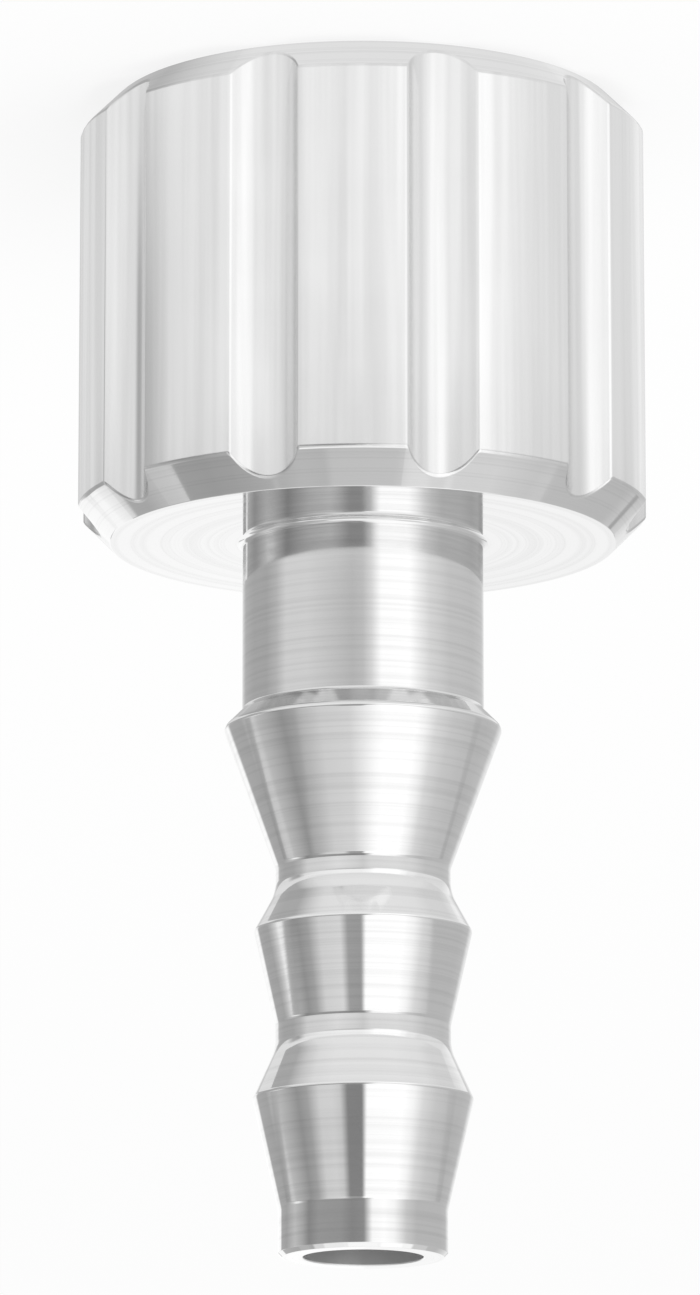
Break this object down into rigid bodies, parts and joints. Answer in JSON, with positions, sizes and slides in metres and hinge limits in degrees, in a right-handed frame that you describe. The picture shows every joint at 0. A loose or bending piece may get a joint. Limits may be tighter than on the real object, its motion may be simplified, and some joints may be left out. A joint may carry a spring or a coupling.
{
  "type": "hose barb fitting",
  "caption": "Straight plated metal fitting: a fluted round head with a threaded socket, a plain neck and a tapered barbed stem for soft hose.",
  "frame": {"origin": "centre of the head's open rim, on the axis, in the plane it stands on", "axes": "+Z along the axis from the head's rim to the hose end; +X through the middle of one grip flute"},
  "size_m": [0.0138, 0.014, 0.0286],
  "materials": {
    "plated_metal": "bright plated, turned; satin on the head's grip"
  },
  "bodies": {
    "root": {"fitting_body": "plated_metal"}
  },
  "joints": []
}
